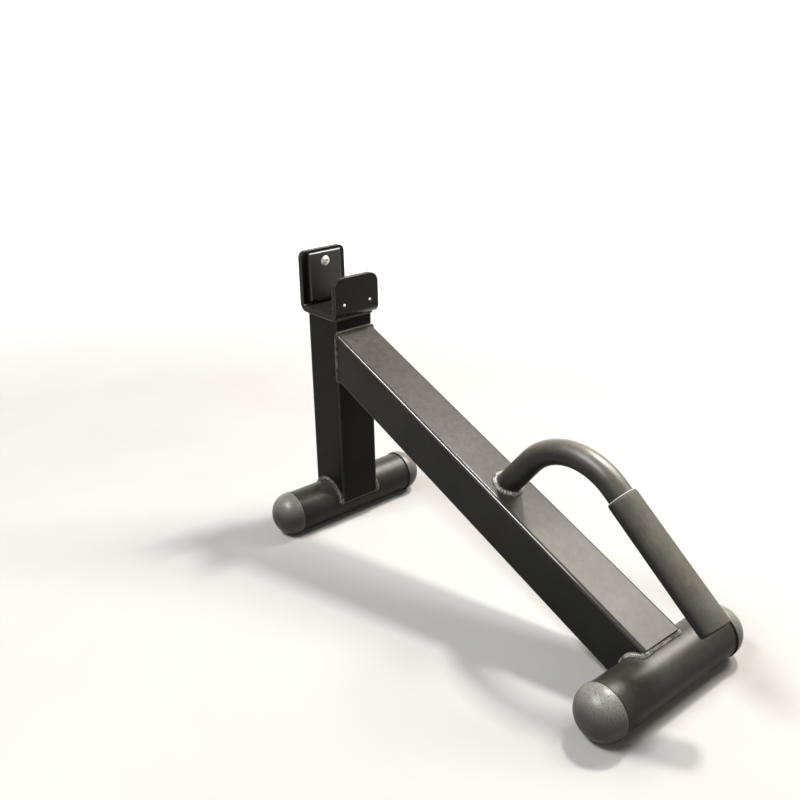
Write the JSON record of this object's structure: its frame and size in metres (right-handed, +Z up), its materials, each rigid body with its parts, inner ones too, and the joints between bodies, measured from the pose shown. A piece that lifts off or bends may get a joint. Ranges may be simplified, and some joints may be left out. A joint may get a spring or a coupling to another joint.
{
  "type": "deadlift jack",
  "caption": "Welded square-tube rocker frame on two round feet with domed rubber caps; its lined U cradle lifts a bar's end when the bent, gripped lever handle is pushed down.",
  "frame": {"origin": "on the floor, at the centre of the part's bounding box seen from above", "axes": "+X along the bar that the cradle holds, +Y level from the handle's end towards the cradle, +Z up from the floor"},
  "size_m": [0.197, 0.5168, 0.3065],
  "materials": {
    "frame_coat": "satin black powder coat",
    "weld_coat": "weld bead under the same black powder coat",
    "cap_rubber": "matt moulded rubber",
    "grip_rubber": "matt ribbed rubber sleeve",
    "liner_plastic": "satin black wear plastic",
    "zinc_steel": "zinc-plated steel"
  },
  "bodies": {
    "root": {"front_foot_tube": "frame_coat", "rear_foot_tube": "frame_coat", "front_left_cap": "cap_rubber", "front_right_cap": "cap_rubber", "rear_left_cap": "cap_rubber", "rear_right_cap": "cap_rubber", "upright_post": "frame_coat", "main_beam": "frame_coat", "handle_tube": "frame_coat", "handle_grip": "grip_rubber", "cradle_bracket": "frame_coat", "tall_liner": "liner_plastic", "short_liner": "liner_plastic", "tall_liner_screw": "zinc_steel", "tall_liner_washer": "zinc_steel", "tall_liner_nut": "zinc_steel", "short_liner_screw_left": "zinc_steel", "short_liner_screw_right": "zinc_steel", "front_foot_weld": "weld_coat", "rear_foot_weld": "weld_coat", "beam_weld": "weld_coat", "cradle_weld": "weld_coat", "handle_weld": "weld_coat"}
  },
  "joints": []
}
